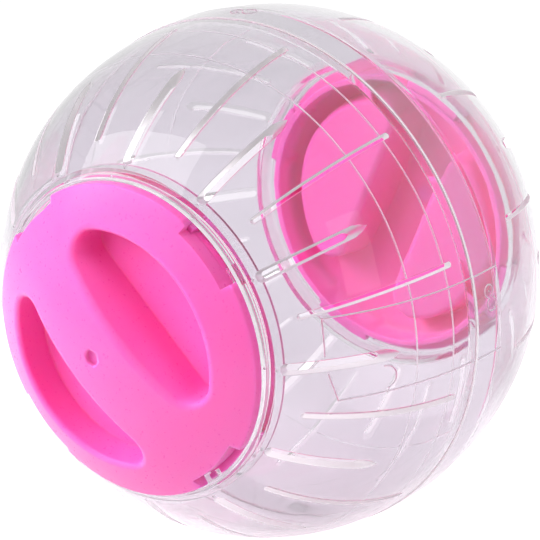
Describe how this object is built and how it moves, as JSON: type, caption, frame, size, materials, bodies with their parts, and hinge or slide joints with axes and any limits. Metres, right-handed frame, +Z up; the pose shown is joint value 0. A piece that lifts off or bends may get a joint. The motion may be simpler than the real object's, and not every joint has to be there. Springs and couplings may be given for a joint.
{
  "type": "hamster ball",
  "caption": "Clear hollow exercise ball in two slotted halves, with a pink twist-lock cap with finger pockets closing the opening at each pole.",
  "frame": {"origin": "centre of the ball", "axes": "+Y along the cap axis, towards the far cap; the near cap faces -Y; +Z up"},
  "size_m": [0.1206, 0.1256, 0.1206],
  "materials": {
    "clear_plastic": "clear polished moulding",
    "pink_plastic": "semi-gloss moulding"
  },
  "bodies": {
    "ball": {"near_shell": "clear_plastic", "far_shell": "clear_plastic"},
    "near_cap": {"near_cap": "pink_plastic"},
    "far_cap": {"far_cap": "pink_plastic"}
  },
  "joints": [
    {"name": "near_cap_twist", "type": "hinge", "parent": "ball", "child": "near_cap", "pos_m": [0, -0.0484, 0], "axis": [0, -1, 0], "range_deg": [-16, 20]},
    {"name": "far_cap_twist", "type": "hinge", "parent": "ball", "child": "far_cap", "pos_m": [0, 0.0484, 0], "axis": [0, 1, 0], "range_deg": [-16, 20]}
  ]
}
